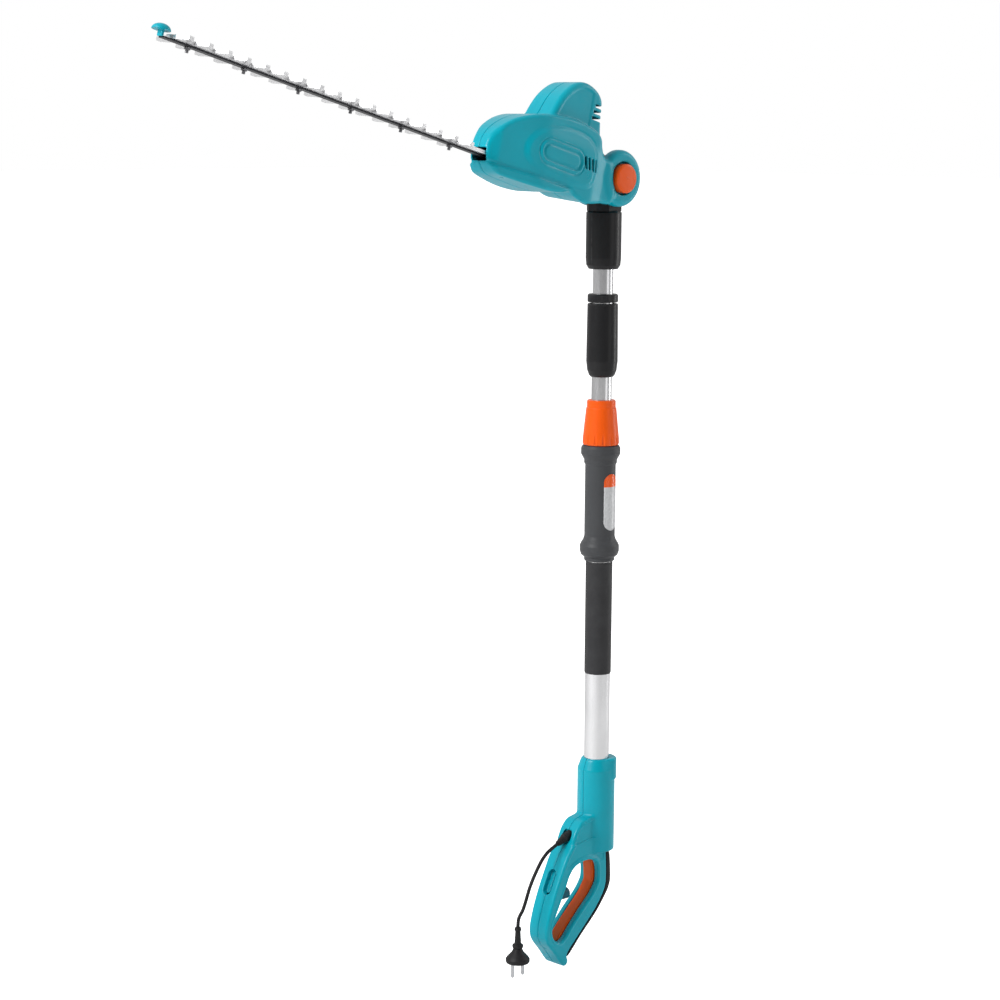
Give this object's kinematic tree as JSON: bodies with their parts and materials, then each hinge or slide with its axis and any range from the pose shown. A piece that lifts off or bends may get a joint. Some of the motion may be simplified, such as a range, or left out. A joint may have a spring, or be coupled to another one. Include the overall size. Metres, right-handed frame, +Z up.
{
  "type": "pole hedge trimmer",
  "caption": "Corded electric hedge trimmer with a tilting double-sided cutter head on a telescopic, separable pole with a loop handle.",
  "frame": {"origin": "on the pole axis at the middle of the bare outer tube", "axes": "+Z up the pole towards the head, the cutter points to -X, the tilt button faces -Y"},
  "size_m": [0.7699, 0.0814, 1.2341],
  "materials": {
    "turquoise_plastic": "satin gloss, moulded",
    "orange_plastic": "satin, moulded",
    "black_plastic": "matt, moulded",
    "grey_plastic": "matt, moulded",
    "dark_teal_plastic": "satin, moulded",
    "badge_plastic": "printed film under clear coat",
    "soft_grip": "soft overmould",
    "black_foam": "shrunk foam sleeve",
    "black_rubber": "cable sheath",
    "tube_aluminium": "satin anodised",
    "cast_aluminium": "as cast",
    "blade_steel": "ground and nickel plated",
    "bar_steel": "brushed",
    "zinc_steel": "zinc plated",
    "dark_steel": "hardened",
    "copper": "enamelled winding",
    "carbon": "pressed carbon",
    "bronze": "sintered"
  },
  "bodies": {
    "handle": {"outer_tube": "tube_aluminium", "clamp_collet": "black_plastic", "front_grip": "grey_plastic", "grip_badge": "badge_plastic", "grip_sleeve": "black_foam", "handle_shell_left": "turquoise_plastic", "handle_shell_right": "turquoise_plastic", "handle_screws": "dark_steel", "grip_overmould": "soft_grip", "trigger_pin": "dark_steel", "trigger_spring": "zinc_steel", "lock_spring": "zinc_steel", "microswitch": "black_plastic", "strain_relief": "black_rubber", "power_cable": "black_rubber", "mains_plug": "black_rubber", "plug_pins": "zinc_steel", "coiled_lead": "black_rubber"},
    "clamp_ring": {"clamp_nut": "orange_plastic"},
    "inner_pole": {"inner_tube": "tube_aluminium", "tube_bush": "black_plastic", "coupling_socket": "black_plastic"},
    "coupling": {"coupling_nut": "black_plastic"},
    "head_pole": {"upper_tube": "tube_aluminium", "coupling_spigot": "black_plastic", "coupling_ring": "black_plastic", "knuckle_left": "black_plastic", "knuckle_right": "black_plastic", "knuckle_screws": "dark_steel"},
    "head": {"head_shell_left": "turquoise_plastic", "head_shell_right": "turquoise_plastic", "head_screws": "dark_steel", "gearbox_base": "cast_aluminium", "gearbox_cover": "cast_aluminium", "shaft_bushes": "bronze", "motor_bearings": "zinc_steel", "motor_stator": "dark_steel", "field_coils": "copper", "brush_holders": "black_plastic", "carbon_brushes": "carbon", "guide_bar": "bar_steel", "bar_screws": "dark_steel", "blade_bolts": "dark_steel", "blade_nuts": "dark_steel", "tip_guard": "turquoise_plastic", "button_spring": "zinc_steel", "pivot_bolt": "dark_steel"},
    "release": {"tilt_button": "orange_plastic", "lock_star": "dark_steel"},
    "crankshaft": {"eccentric_shaft": "dark_steel", "drive_gear": "dark_steel"},
    "rotor": {"motor_shaft": "dark_steel", "motor_pinion": "dark_steel", "armature_core": "dark_steel", "commutator": "copper", "cooling_fan": "black_plastic"},
    "top_cutter": {"upper_blade": "blade_steel"},
    "bottom_cutter": {"lower_blade": "blade_steel"},
    "trigger_lever": {"trigger": "orange_plastic"},
    "lock": {"lock_button": "dark_teal_plastic"}
  },
  "joints": [
    {"name": "clamp_nut_turn", "type": "hinge", "parent": "handle", "child": "clamp_ring", "pos_m": [0, 0, 0.4], "axis": [0, 0, 1], "range_deg": [0, 90]},
    {"name": "telescope", "type": "slide", "parent": "handle", "child": "inner_pole", "axis": [0, 0, 1], "range_m": [-0.02, 0.45], "deforming": ["coiled_lead"]},
    {"name": "coupling_nut_turn", "type": "hinge", "parent": "inner_pole", "child": "coupling", "pos_m": [0, 0, 0.5], "axis": [0, 0, 1], "continuous": true},
    {"name": "head_section_lift", "type": "slide", "parent": "inner_pole", "child": "head_pole", "axis": [0, 0, 1], "range_m": [0, 0.08]},
    {"name": "head_tilt", "type": "hinge", "parent": "head_pole", "child": "head", "pos_m": [0, 0, 0.7225], "axis": [0, 1, 0], "range_deg": [0, 135]},
    {"name": "tilt_button_press", "type": "slide", "parent": "head", "child": "release", "axis": [0, 1, 0], "range_m": [0, 0.005], "stiffness_N_per_m": 800, "deforming": ["button_spring"]},
    {"name": "crankshaft_spin", "type": "hinge", "parent": "head", "child": "crankshaft", "pos_m": [-0.13523, 0, 0.75874], "axis": [0.2588, 0, 0.9659], "continuous": true},
    {"name": "motor_spin", "type": "hinge", "parent": "head", "child": "rotor", "pos_m": [-0.09659, 0, 0.74838], "axis": [0.2588, 0, 0.9659], "continuous": true},
    {"name": "upper_blade_slide", "type": "slide", "parent": "head", "child": "top_cutter", "axis": [-0.9659, 0, 0.2588], "range_m": [-0.007, 0.007]},
    {"name": "lower_blade_slide", "type": "slide", "parent": "head", "child": "bottom_cutter", "axis": [-0.9659, 0, 0.2588], "range_m": [-0.007, 0.007]},
    {"name": "trigger_squeeze", "type": "hinge", "parent": "handle", "child": "trigger_lever", "pos_m": [-0.0105, 0, -0.202], "axis": [0, -1, 0], "range_deg": [0, 4], "stiffness_Nm_per_rad": 0.5, "deforming": ["trigger_spring"]},
    {"name": "lock_button_press", "type": "slide", "parent": "handle", "child": "lock", "axis": [-1, 0, 0], "range_m": [0, 0.004], "stiffness_N_per_m": 300, "deforming": ["lock_spring"]}
  ],
  "couplings": [
    {"joint": "motor_spin", "follows": "crankshaft_spin", "ratio": -5.6667},
    {"joint": "lower_blade_slide", "follows": "upper_blade_slide", "ratio": -1}
  ]
}
